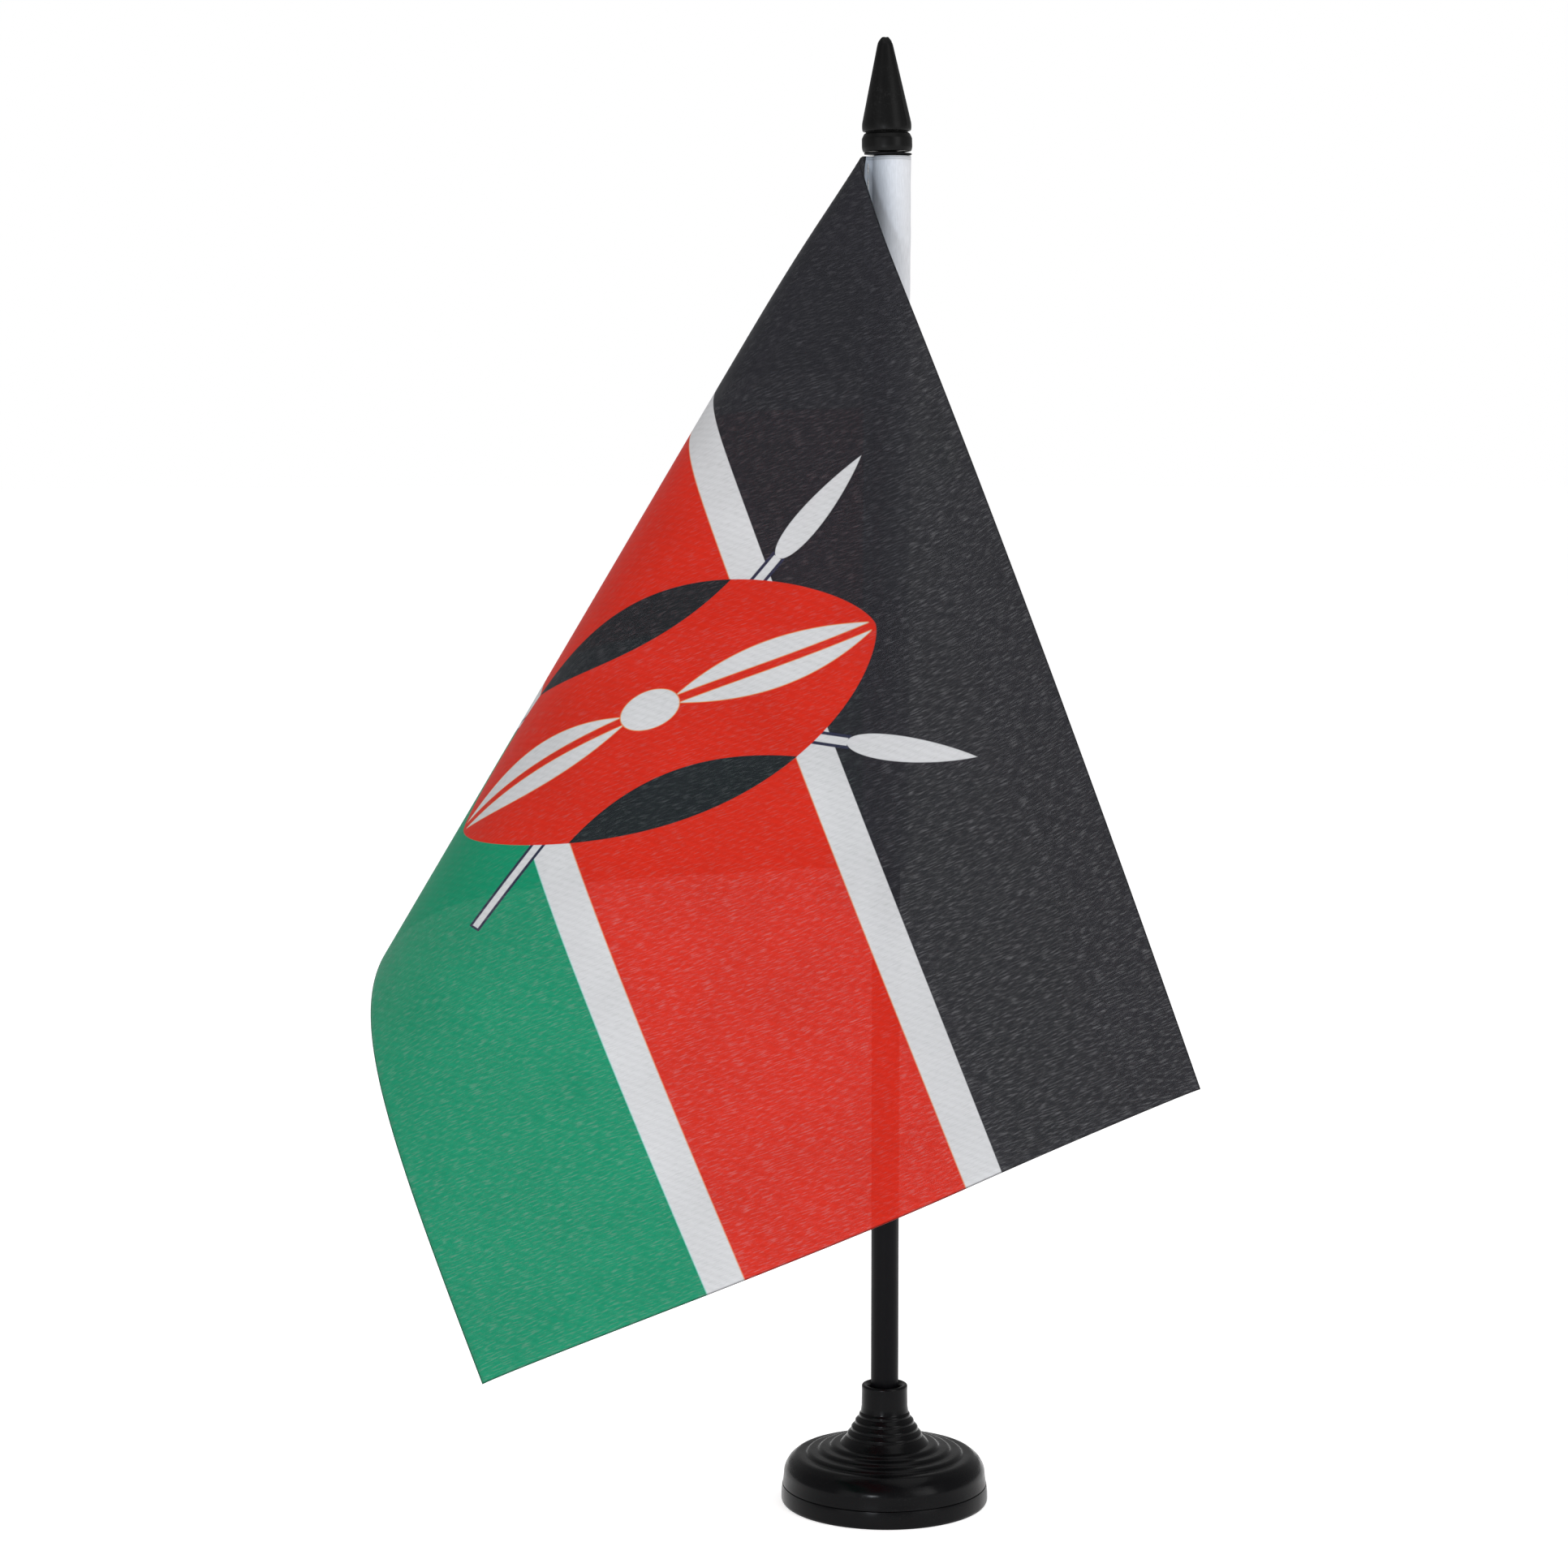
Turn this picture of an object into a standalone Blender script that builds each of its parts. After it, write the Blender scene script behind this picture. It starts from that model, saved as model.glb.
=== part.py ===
"""Desk flag stand: a small cloth flag on a push-in pole, with a stepped round base.

Run with blender --background --python part.py, or from Blender's text editor.
Metres, +Z up. The origin is on the pole's axis, on the surface that the base stands on.
+X is to the right of a person at the desk, and the free end of the flag comes towards
that person, along -Y.
"""

import math

import bmesh
import bpy
from mathutils import Matrix, Vector

MM = 0.001

# fits
GAP = 0.3 * MM                    # between faces that rest on each other or slide
ROUND_STEPS = 4                   # points on a small rounded edge

# pole
POLE_RADIUS = 2.78 * MM
POLE_LENGTH = 264.0 * MM          # from its lower end to the underside of its flange
POLE_CHAMFER = 0.4 * MM
FLANGE_RADIUS = 4.6 * MM
FLANGE_THICKNESS = 0.5 * MM
SPIGOT_RADIUS = 1.8 * MM
SPIGOT_LENGTH = 9.5 * MM

# base shell
BASE_RADIUS = 20.5 * MM           # widest point of the upper shell
BASE_HEIGHT = 24.1 * MM           # top of the collar
SOCKET_DEPTH = 18.1 * MM
COLLAR_RADIUS = 4.68 * MM
COLLAR_LENGTH = 4.5 * MM
COLLAR_LIP = 0.5 * MM
RIB_COUNT = 4
RIB_FIRST_RADIUS = 5.15 * MM
RIB_STEP_OUT = 0.8 * MM
RING_COUNT = 4
RING_LIP = 0.45 * MM
NECK_FOOT_HEIGHT = 13.0 * MM      # where the ribs end and the wide rings start
SHOULDER_INSET = 2.3 * MM         # the shoulder's radius is this much under BASE_RADIUS
SHOULDER_HEIGHT = 9.2 * MM
WAIST_GROOVE = 0.2 * MM
SHELL_WALL = 1.3 * MM

# base cover and ballast
COVER_FLARE = 0.45 * MM           # how far the cover stands out past the shell
COVER_HEIGHT = 3.6 * MM
COVER_FLOOR = 1.2 * MM
COVER_RIM_WIDTH = 1.1 * MM
COVER_RIM_RISE = 1.2 * MM
BALLAST_THICKNESS = 1.6 * MM

# finial
FINIAL_RING_RADIUS = 4.97 * MM
FINIAL_RING_HEIGHT = 3.2 * MM
FINIAL_GROOVE_RADIUS = 4.15 * MM
FINIAL_CONE_RADIUS = 4.92 * MM
FINIAL_CONE_HEIGHT = 17.20 * MM
FINIAL_TIP_RADIUS = 1.25 * MM

# flag
HOIST = 140.0 * MM
FLY = 209.5 * MM
CLOTH_THICKNESS = 0.4 * MM
SLEEVE_RADIUS = 3.9 * MM
SLEEVE_WALL = 0.35 * MM
SEAM_GAP = 0.5 * MM               # from the sleeve to the edge of the printed cloth
THREAD_RADIUS = 0.2 * MM
STITCH_LENGTH = 3.0 * MM

# the hang of the cloth: a sheet rolled about a point above its top corner
APEX_RISE = 6.2 * MM              # that point's height above the corner
FOLD_START = 0.126                # radians from the hoist where the cloth leaves its plane
FOLD_SPREAD = 0.991               # radians of cloth that the fold takes
FOLD_TURN = 2.924                 # how far the fold turns the cloth, in radians
FRONT_BEND = 0.507                # turn for each radian of cloth in front of the fold
FRONT_BEND_CHANGE = -2.795        # and how that changes with each further radian
HANG_SWEEP = 95.0                 # degrees of flat cloth that the hang is worked out over
HANG_STEPS = 240

# shares of a step or an edge that shape the ribs and rings, as the mould's cutter left them
RIB_LEAD = 1.2                    # steps from the collar down to the first rib
RIB_TAIL = 0.646                  # steps from the last rib down to the neck's foot
RIB_TREAD = 0.25                  # the sloping tread above each rib's lip
RIB_LIP = 0.35                    # the upright lip below it
RING_CURVE = 0.85                 # under 1, the upper rings fall faster than the lower

# worked out from the values above
SHOULDER_RADIUS = BASE_RADIUS - SHOULDER_INSET
COVER_RADIUS = BASE_RADIUS + COVER_FLARE
RIB_SPAN = BASE_HEIGHT - COLLAR_LENGTH - NECK_FOOT_HEIGHT
RIB_STEP_DOWN = RIB_SPAN / (RIB_LEAD + RIB_COUNT - 1 + RIB_TAIL)
CAVITY_RADIUS = BASE_RADIUS - WAIST_GROOVE - SHELL_WALL
SOCKET_RADIUS = POLE_RADIUS + GAP
SOCKET_FLOOR = BASE_HEIGHT - SOCKET_DEPTH
POLE_FOOT = SOCKET_FLOOR + GAP
FLANGE_UNDER = POLE_FOOT + POLE_LENGTH
FLANGE_TOP = FLANGE_UNDER + FLANGE_THICKNESS
FINIAL_FOOT = FLANGE_TOP + GAP
SHELL_FOOT = COVER_HEIGHT + GAP
HOIST_TOP = FLANGE_UNDER - GAP
SLEEVE_CENTRE_X = SLEEVE_RADIUS - SLEEVE_WALL - POLE_RADIUS - GAP
PANEL_EDGE_X = SLEEVE_CENTRE_X - SLEEVE_RADIUS - SEAM_GAP


def clear_scene():
    for obj in list(bpy.data.objects):
        bpy.data.objects.remove(obj)


def finish(name, colour, roughness, metallic=0.0):
    material = bpy.data.materials.new(name)
    material.use_nodes = True
    shader = material.node_tree.nodes["Principled BSDF"]
    shader.inputs["Base Color"].default_value = (*colour, 1.0)
    shader.inputs["Roughness"].default_value = roughness
    shader.inputs["Metallic"].default_value = metallic
    return material


def arc(centre_r, centre_z, radius, start, end, steps=ROUND_STEPS):
    """Points on an arc in the (r, z) half plane, angles in degrees from +r towards +z."""
    points = []
    for step in range(steps + 1):
        angle = math.radians(start + (end - start) * step / steps)
        points.append((centre_r + radius * math.cos(angle), centre_z + radius * math.sin(angle)))
    return points


def finish_mesh(name, bm, material, parent, sharp=35.0):
    bmesh.ops.recalc_face_normals(bm, faces=bm.faces)
    mesh = bpy.data.meshes.new(name)
    bm.to_mesh(mesh)
    bm.free()
    mesh.shade_smooth()
    mesh.set_sharp_from_angle(angle=math.radians(sharp))
    mesh.materials.append(material)
    obj = bpy.data.objects.new(name, mesh)
    bpy.context.scene.collection.objects.link(obj)
    if parent is not None:
        obj.parent = parent
        obj.location = -parent.location
    return obj


def turned(name, outline, segments, material, parent):
    """A solid turned about the Z axis from an outline of (r, z) points.

    The outline is closed, unless both of its ends are on the axis.
    """
    bm = bmesh.new()
    verts = [bm.verts.new((r, 0.0, z)) for r, z in outline]
    edges = [bm.edges.new(pair) for pair in zip(verts, verts[1:])]
    ends_on_axis = outline[0][0] == 0.0 and outline[-1][0] == 0.0
    if not ends_on_axis:
        edges.append(bm.edges.new((verts[-1], verts[0])))
    bmesh.ops.spin(bm, geom=verts + edges, cent=(0, 0, 0), axis=(0, 0, 1), dvec=(0, 0, 0),
                   angle=math.tau, steps=segments, use_merge=True, use_duplicate=False)
    bmesh.ops.remove_doubles(bm, verts=bm.verts, dist=1e-6)
    return finish_mesh(name, bm, material, parent)


def pivot(name, height):
    """An empty on the pole's axis, which stands for a moving body's joint."""
    empty = bpy.data.objects.new(name, None)
    empty.location = (0.0, 0.0, height)
    empty.empty_display_size = 0.01
    bpy.context.scene.collection.objects.link(empty)
    return empty


def rib_outline():
    """The fine terraces down the neck, each a small lip under a sloping tread."""
    points = []
    top = BASE_HEIGHT - COLLAR_LENGTH - RIB_LEAD * RIB_STEP_DOWN
    for rib in range(RIB_COUNT):
        radius = RIB_FIRST_RADIUS + rib * RIB_STEP_OUT
        height = top - rib * RIB_STEP_DOWN
        points.append((radius - RIB_TREAD * RIB_STEP_OUT, height + RIB_TREAD * RIB_STEP_DOWN))
        points.append((radius, height))
        points.append((radius, height - RIB_LIP * RIB_STEP_DOWN))
    return points


def ring_outline():
    """The wide rounded terraces from the foot of the neck to the shoulder."""
    foot_radius = RIB_FIRST_RADIUS + RIB_COUNT * RIB_STEP_OUT
    tread = (SHOULDER_RADIUS - foot_radius) / RING_COUNT
    points = [(foot_radius - 0.3 * RIB_STEP_OUT, NECK_FOOT_HEIGHT)]
    drop = NECK_FOOT_HEIGHT - SHOULDER_HEIGHT
    for ring in range(RING_COUNT):
        share = (ring + 1) / RING_COUNT
        radius = foot_radius + (ring + 1) * tread
        height = NECK_FOOT_HEIGHT - drop * share ** RING_CURVE
        points.append((radius - 0.45 * tread, height + 0.2 * RING_LIP))
        points += arc(radius - RING_LIP, height - RING_LIP, RING_LIP, 80, 5, 3)
        points.append((radius + 0.12 * tread, height - 1.9 * RING_LIP))
    return points[:-1]


def base_shell(material, parent):
    """The moulded upper shell: socket, collar, ribs, rings and side, open underneath."""
    lip = COLLAR_LIP
    outline = [(0.0, SOCKET_FLOOR), (SOCKET_RADIUS, SOCKET_FLOOR)]
    mouth_width = COLLAR_RADIUS - SOCKET_RADIUS - lip
    outline += arc(SOCKET_RADIUS + mouth_width, BASE_HEIGHT - mouth_width, mouth_width, 180, 90)
    outline += arc(COLLAR_RADIUS - lip, BASE_HEIGHT - lip, lip, 75, 0)
    outline.append((COLLAR_RADIUS, BASE_HEIGHT - COLLAR_LENGTH))
    outline += rib_outline()
    outline += ring_outline()

    # the side swells from the shoulder to its widest point, then pulls in to the groove
    side_drop = SHOULDER_HEIGHT - RING_LIP - SHELL_FOOT
    swell = BASE_RADIUS - SHOULDER_RADIUS
    for share_out, share_down in ((0.35, 0.05), (0.55, 0.20), (0.86, 0.45), (1.0, 0.62), (1.0, 0.82)):
        outline.append((SHOULDER_RADIUS + swell * share_out,
                        SHOULDER_HEIGHT - RING_LIP - side_drop * share_down))
    outline.append((BASE_RADIUS - WAIST_GROOVE, SHELL_FOOT))

    # the inside follows the outside at the wall's thickness
    cavity_top = NECK_FOOT_HEIGHT - 1.4 * SHELL_WALL
    shoulder_inside = SHOULDER_HEIGHT - RING_LIP - SHELL_WALL
    outline.append((CAVITY_RADIUS, SHELL_FOOT))
    outline.append((CAVITY_RADIUS, SHELL_FOOT + 0.3 * (shoulder_inside - SHELL_FOOT)))
    outline.append((SHOULDER_RADIUS - 1.2 * SHELL_WALL, shoulder_inside))
    outline.append((COLLAR_RADIUS + 2.0 * SHELL_WALL, cavity_top))
    outline.append((COLLAR_RADIUS, cavity_top))
    outline.append((COLLAR_RADIUS, COVER_FLOOR + GAP))
    outline.append((0.0, COVER_FLOOR + GAP))
    return turned("base_shell", outline, 40, material, parent)


def base_cover(material, parent):
    """The shallow bottom cover, whose upstanding rim fits inside the shell."""
    rim_outside = CAVITY_RADIUS - GAP
    rim_inside = rim_outside - COVER_RIM_WIDTH
    rim_top = COVER_HEIGHT + COVER_RIM_RISE
    edge = 0.3 * COVER_FLARE
    side = COVER_RADIUS - 0.35 * COVER_FLARE
    outline = [(0.0, 0.0), (COVER_RADIUS - edge, 0.0), (COVER_RADIUS, edge)]
    outline += [(COVER_RADIUS, 0.13 * COVER_HEIGHT), (side, 0.3 * COVER_HEIGHT)]
    outline += [(side, 0.86 * COVER_HEIGHT), (side - 0.5 * COVER_FLARE, COVER_HEIGHT)]
    outline += [(rim_outside, COVER_HEIGHT)]
    outline += [(rim_outside, rim_top), (rim_inside, rim_top)]
    outline += [(rim_inside, COVER_FLOOR), (0.0, COVER_FLOOR)]
    return turned("base_cover", outline, 40, material, parent)


def ballast_washer(material, parent):
    """The steel washer that keeps the light base down, around the socket."""
    inner = COLLAR_RADIUS + GAP
    outer = CAVITY_RADIUS - GAP - COVER_RIM_WIDTH - GAP
    low = COVER_FLOOR + GAP
    high = low + BALLAST_THICKNESS
    outline = [(inner, low), (outer, low), (outer, high), (inner, high)]
    return turned("ballast_washer", outline, 40, material, parent)


def pole(material, parent):
    """The pole, with a thin flange on which the finial seats and a spigot inside it."""
    chamfer = POLE_CHAMFER
    spigot_top = FLANGE_TOP + SPIGOT_LENGTH
    outline = [(0.0, POLE_FOOT), (POLE_RADIUS - chamfer, POLE_FOOT)]
    outline += [(POLE_RADIUS, POLE_FOOT + chamfer), (POLE_RADIUS, FLANGE_UNDER)]
    outline += [(FLANGE_RADIUS, FLANGE_UNDER), (FLANGE_RADIUS, FLANGE_TOP)]
    outline += [(SPIGOT_RADIUS, FLANGE_TOP), (SPIGOT_RADIUS, spigot_top - chamfer)]
    outline += [(SPIGOT_RADIUS - chamfer, spigot_top), (0.0, spigot_top)]
    return turned("pole", outline, 32, material, parent)


def finial(material, parent):
    """The pointed finial: a ring, a groove and a cone, with a blind bore from below."""
    bore_radius = SPIGOT_RADIUS + GAP
    bore_top = FLANGE_TOP + SPIGOT_LENGTH + GAP
    ring_top = FINIAL_FOOT + FINIAL_RING_HEIGHT
    edge = 0.25 * FINIAL_RING_HEIGHT
    cone_foot = ring_top + 2.0 * (FINIAL_CONE_RADIUS - FINIAL_GROOVE_RADIUS)
    tip_centre = cone_foot + FINIAL_CONE_HEIGHT - FINIAL_TIP_RADIUS
    outline = [(0.0, bore_top), (bore_radius, bore_top), (bore_radius, FINIAL_FOOT)]
    outline += arc(FINIAL_RING_RADIUS - edge, FINIAL_FOOT + edge, edge, -90, 0, 3)
    outline += arc(FINIAL_RING_RADIUS - edge, ring_top - edge, edge, 0, 60, 3)
    outline.append((FINIAL_GROOVE_RADIUS, ring_top + 0.1 * edge))
    outline.append((FINIAL_GROOVE_RADIUS, ring_top + 0.6 * edge))
    outline += arc(FINIAL_CONE_RADIUS - edge, cone_foot, edge, -60, 10, 3)

    # the straight side meets the rounded tip where they share a tangent
    lean = math.degrees(math.asin((FINIAL_CONE_RADIUS - FINIAL_TIP_RADIUS) / FINIAL_CONE_HEIGHT))
    outline += arc(0.0, tip_centre, FINIAL_TIP_RADIUS, lean, 90, 5)[:-1]
    outline.append((0.0, tip_centre + FINIAL_TIP_RADIUS))
    return turned("finial", outline, 40, material, parent)


def hang_directions():
    """Unit directions from the hang's apex, at equal angles over the flat cloth.

    The frame holds the direction, the sideways direction and the cloth's normal. Each step
    swings it by an angle across the cloth, and turns it about the direction where it bends.
    """
    step = math.radians(HANG_SWEEP) / HANG_STEPS
    direction = Vector((0.0, 0.0, -1.0))
    sideways = Vector((-1.0, 0.0, 0.0))
    directions = [direction.copy()]
    for count in range(HANG_STEPS):
        angle = (count + 0.5) * step
        share = (angle - FOLD_START) / FOLD_SPREAD
        bend = 0.0
        if 0.0 < share < 1.0:
            bend = 2.0 * FOLD_TURN / FOLD_SPREAD * math.sin(math.pi * share) ** 2
        if share > 0.5:
            past_fold = angle - FOLD_START - 0.5 * FOLD_SPREAD
            bend += FRONT_BEND + FRONT_BEND_CHANGE * past_fold
        sideways.rotate(Matrix.Rotation(-bend * step, 3, direction))
        swing = Matrix.Rotation(step, 3, direction.cross(sideways))
        direction.rotate(swing)
        sideways.rotate(swing)
        directions.append(direction.copy())
    return directions


def hung(fly, down, directions):
    """Where the flat cloth's point, fly along and down from the top corner, hangs."""
    reach = math.hypot(fly, down + APEX_RISE)
    place = math.atan2(fly, down + APEX_RISE) / math.radians(HANG_SWEEP) * HANG_STEPS
    index = min(int(place), HANG_STEPS - 1)
    direction = directions[index].lerp(directions[index + 1], place - index)
    apex = Vector((PANEL_EDGE_X, 0.0, HOIST_TOP + APEX_RISE))
    return apex + reach * direction.normalized()


def flag_panel(material, parent):
    """The printed cloth, one sheet that folds back on itself and comes forward."""
    directions = hang_directions()
    bm = bmesh.new()
    bmesh.ops.create_grid(bm, x_segments=44, y_segments=22, size=0.5)
    for vert in bm.verts:
        fly = (vert.co.x + 0.5) ** 1.25 * FLY
        down = (0.5 - vert.co.y) * HOIST
        vert.co = hung(fly, down, directions)
    obj = finish_mesh("flag_panel", bm, material, parent, sharp=60.0)
    thicken = obj.modifiers.new("thickness", "SOLIDIFY")
    thicken.thickness = CLOTH_THICKNESS
    thicken.offset = 0.0
    return obj


def flag_sleeve(material, parent):
    """The white sleeve round the pole, wider than the pole and pulled to one side."""
    inner = SLEEVE_RADIUS - SLEEVE_WALL
    low = HOIST_TOP - HOIST
    outline = [(inner, low), (SLEEVE_RADIUS, low), (SLEEVE_RADIUS, HOIST_TOP), (inner, HOIST_TOP)]
    obj = turned("flag_sleeve", outline, 36, material, parent)
    obj.data.transform(Matrix.Translation((SLEEVE_CENTRE_X, 0.0, 0.0)))
    return obj


def sleeve_stitching(material, parent):
    """The thread along the seam, a thin line that dips at each needle hole."""
    count = 2 * int((HOIST - 2.0 * STITCH_LENGTH) / STITCH_LENGTH)
    seam_x = PANEL_EDGE_X - SEAM_GAP
    front = -0.5 * CLOTH_THICKNESS - GAP - THREAD_RADIUS
    low = HOIST_TOP - HOIST + STITCH_LENGTH
    curve = bpy.data.curves.new("sleeve_stitching", "CURVE")
    curve.dimensions = "3D"
    curve.bevel_depth = THREAD_RADIUS
    curve.bevel_resolution = 0
    curve.use_fill_caps = True
    spline = curve.splines.new("POLY")
    spline.points.add(count)
    for index in range(count + 1):
        dip = THREAD_RADIUS * (index % 2)
        height = low + 0.5 * STITCH_LENGTH * index
        spline.points[index].co = (seam_x, front - dip, height, 1.0)
    curve.materials.append(material)
    obj = bpy.data.objects.new("sleeve_stitching", curve)
    bpy.context.scene.collection.objects.link(obj)
    obj.parent = parent
    obj.location = -parent.location
    return obj


def build():
    clear_scene()
    gloss_black = finish("gloss_black", (0.018, 0.018, 0.020), 0.30)
    satin_black = finish("satin_black", (0.020, 0.020, 0.024), 0.45)
    steel = finish("ballast_steel", (0.45, 0.45, 0.46), 0.40, 1.0)
    print_cloth = finish("print_cloth", (0.62, 0.05, 0.03), 0.85)
    white_cloth = finish("white_cloth", (0.75, 0.76, 0.79), 0.90)
    thread = finish("thread", (0.80, 0.80, 0.80), 0.80)

    base_shell(gloss_black, None)
    base_cover(gloss_black, None)
    ballast_washer(steel, None)

    pole_pivot = pivot("pole_pivot", POLE_FOOT)
    pole(satin_black, pole_pivot)
    finial_pivot = pivot("finial_pivot", FINIAL_FOOT)
    finial(gloss_black, finial_pivot)
    flag_pivot = pivot("flag_pivot", HOIST_TOP)
    flag_panel(print_cloth, flag_pivot)
    flag_sleeve(white_cloth, flag_pivot)
    sleeve_stitching(thread, flag_pivot)


build()
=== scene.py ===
import math

import bmesh
import bpy
from mathutils import Matrix, Vector, noise


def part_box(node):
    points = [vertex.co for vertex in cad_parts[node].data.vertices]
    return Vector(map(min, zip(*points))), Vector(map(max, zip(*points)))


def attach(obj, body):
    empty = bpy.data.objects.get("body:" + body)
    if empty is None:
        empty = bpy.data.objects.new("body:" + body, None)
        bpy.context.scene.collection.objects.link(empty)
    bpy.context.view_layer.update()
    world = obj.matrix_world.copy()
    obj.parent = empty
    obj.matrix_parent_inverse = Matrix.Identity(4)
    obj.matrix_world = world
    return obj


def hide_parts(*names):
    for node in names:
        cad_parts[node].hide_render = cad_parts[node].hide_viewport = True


# Desk flag stand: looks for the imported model. Metres, +Z up, the pole's axis is Z.
# Towards the person at the desk is -Y.

mm = 0.001
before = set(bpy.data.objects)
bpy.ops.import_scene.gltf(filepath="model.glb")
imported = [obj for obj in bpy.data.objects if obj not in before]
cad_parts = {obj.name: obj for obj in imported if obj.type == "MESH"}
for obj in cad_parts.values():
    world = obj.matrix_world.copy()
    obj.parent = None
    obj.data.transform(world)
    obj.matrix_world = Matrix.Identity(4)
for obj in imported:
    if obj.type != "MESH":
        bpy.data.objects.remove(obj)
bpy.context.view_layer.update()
scene = bpy.context.scene

studio = {
    "eye": (-0.0204, -0.7326, 0.2243),   # where the person's eye is
    "lookDown": 6.07,                    # degrees below level
    "lens": 84.84,
    "sensor": 36.0,
    "clipStart": 0.01,
    "softboxes": (                       # name, place, width and height, watts
        ("overheadSoftbox", (0.0, -0.25, 1.5), (1.6, 1.6), 8.0),
        ("leftSoftbox", (-1.1, -1.2, 0.55), (0.7, 1.1), 2.6),
        ("rightSoftbox", (1.2, -1.1, 0.65), (0.7, 1.1), 7.5),
    ),
    "aim": (0.0, 0.0, 0.15),             # the softboxes point at the middle of the flag
    "smallLight": {"place": (-0.22, -0.80, 0.16), "aim": (0.0, 0.0, 0.06), "size": (0.04, 0.04),
                   "watts": 1.4, "colour": (0.90, 0.94, 1.0)},   # its glint runs down the ribs
    "roomGlow": 0.40,                    # light that comes from all round
    "backdropGlow": 1.0,
    "floorSize": 8.0,
    "floorSides": 96,
    "floorShade": (0.86, 0.86, 0.86),
    "floorRoughness": 0.85,
    "floorGlow": 0.66,                   # lit from below, as a light table is
    "floorGrain": {"scale": 900.0, "strength": 0.03, "depth": 0.2 * mm},
}


def setUpCamera():
    data = bpy.data.cameras.new("deskCamera")
    data.lens = studio["lens"]
    data.sensor_width = studio["sensor"]
    data.clip_start = studio["clipStart"]
    camera = bpy.data.objects.new("deskCamera", data)
    camera.location = studio["eye"]
    camera.rotation_euler = (math.radians(90.0 - studio["lookDown"]), 0.0, 0.0)
    scene.collection.objects.link(camera)
    scene.camera = camera
    scene.view_settings.view_transform = "Standard"


def addLight(name, place, target, size, watts, colour=(1.0, 1.0, 1.0)):
    data = bpy.data.lights.new(name, "AREA")
    data.shape = "RECTANGLE"
    data.size, data.size_y = size
    data.energy = watts
    data.color = colour
    lamp = bpy.data.objects.new(name, data)
    lamp.location = place
    lamp.rotation_euler = (Vector(target) - Vector(place)).to_track_quat("-Z", "Y").to_euler()
    scene.collection.objects.link(lamp)


def setUpLights():
    for name, place, size, watts in studio["softboxes"]:
        addLight(name, place, studio["aim"], size, watts)
    small = studio["smallLight"]
    addLight("smallFrontLight", small["place"], small["aim"], small["size"], small["watts"],
             small["colour"])


def setUpRoom():
    # The room lights the stand less than the backdrop shines.
    world = bpy.data.worlds.new("whiteRoom")
    world.use_nodes = True
    scene.world = world
    tree = world.node_tree
    backing = tree.nodes["Background"]
    backing.inputs["Color"].default_value = (1.0, 1.0, 1.0, 1.0)
    path = tree.nodes.new("ShaderNodeLightPath")
    strength = tree.nodes.new("ShaderNodeMapRange")
    strength.inputs["To Min"].default_value = studio["roomGlow"]
    strength.inputs["To Max"].default_value = studio["backdropGlow"]
    tree.links.new(path.outputs["Is Camera Ray"], strength.inputs["Value"])
    tree.links.new(strength.outputs["Result"], backing.inputs["Strength"])


def layFloor():
    bm = bmesh.new()
    bmesh.ops.create_circle(bm, cap_ends=True, segments=studio["floorSides"],
                            radius=studio["floorSize"])
    mesh = bpy.data.meshes.new("floor")
    bm.to_mesh(mesh)
    bm.free()
    floor = bpy.data.objects.new("floor", mesh)
    scene.collection.objects.link(floor)
    material, tree, shader = newMaterial("floorPaper", studio["floorShade"],
                                         studio["floorRoughness"])
    shader.inputs["Emission Color"].default_value = (1.0, 1.0, 1.0, 1.0)
    shader.inputs["Emission Strength"].default_value = studio["floorGlow"]
    grain = studio["floorGrain"]
    paper = textureNoise(tree, grain["scale"], 2.0, coordinates(tree))
    addBump(tree, shader, paper, grain["strength"], grain["depth"])
    mesh.materials.append(material)


def newMaterial(name, colour, roughness, metallic=0.0, specular=0.5):
    material = bpy.data.materials.new(name)
    material.use_nodes = True
    tree = material.node_tree
    shader = tree.nodes["Principled BSDF"]
    shader.inputs["Base Color"].default_value = (*colour, 1.0)
    shader.inputs["Roughness"].default_value = roughness
    shader.inputs["Metallic"].default_value = metallic
    shader.inputs["Specular IOR Level"].default_value = specular
    return material, tree, shader


def feed(tree, socket, value):
    if isinstance(value, bpy.types.NodeSocket):
        tree.links.new(value, socket)
    else:
        socket.default_value = value


def coordinates(tree, scale=(1.0, 1.0, 1.0), mapName=None):
    if mapName:
        source = tree.nodes.new("ShaderNodeUVMap")
        source.uv_map = mapName
        start = source.outputs["UV"]
    else:
        start = tree.nodes.new("ShaderNodeTexCoord").outputs["Object"]
    mapping = tree.nodes.new("ShaderNodeMapping")
    mapping.inputs["Scale"].default_value = scale
    tree.links.new(start, mapping.inputs["Vector"])
    return mapping.outputs["Vector"]


def textureNoise(tree, scale, detail, vector, roughness=0.5):
    texture = tree.nodes.new("ShaderNodeTexNoise")
    texture.inputs["Scale"].default_value = scale
    texture.inputs["Detail"].default_value = detail
    texture.inputs["Roughness"].default_value = roughness
    tree.links.new(vector, texture.inputs["Vector"])
    return texture.outputs["Fac"]


def reckon(tree, operation, first, second=0.0):
    step = tree.nodes.new("ShaderNodeMath")
    step.operation = operation
    feed(tree, step.inputs[0], first)
    feed(tree, step.inputs[1], second)
    return step.outputs[0]


def spread(tree, value, low, high, toLow, toHigh):
    ranged = tree.nodes.new("ShaderNodeMapRange")
    for name, setting in (("Value", value), ("From Min", low), ("From Max", high),
                          ("To Min", toLow), ("To Max", toHigh)):
        feed(tree, ranged.inputs[name], setting)
    return ranged.outputs["Result"]


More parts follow.
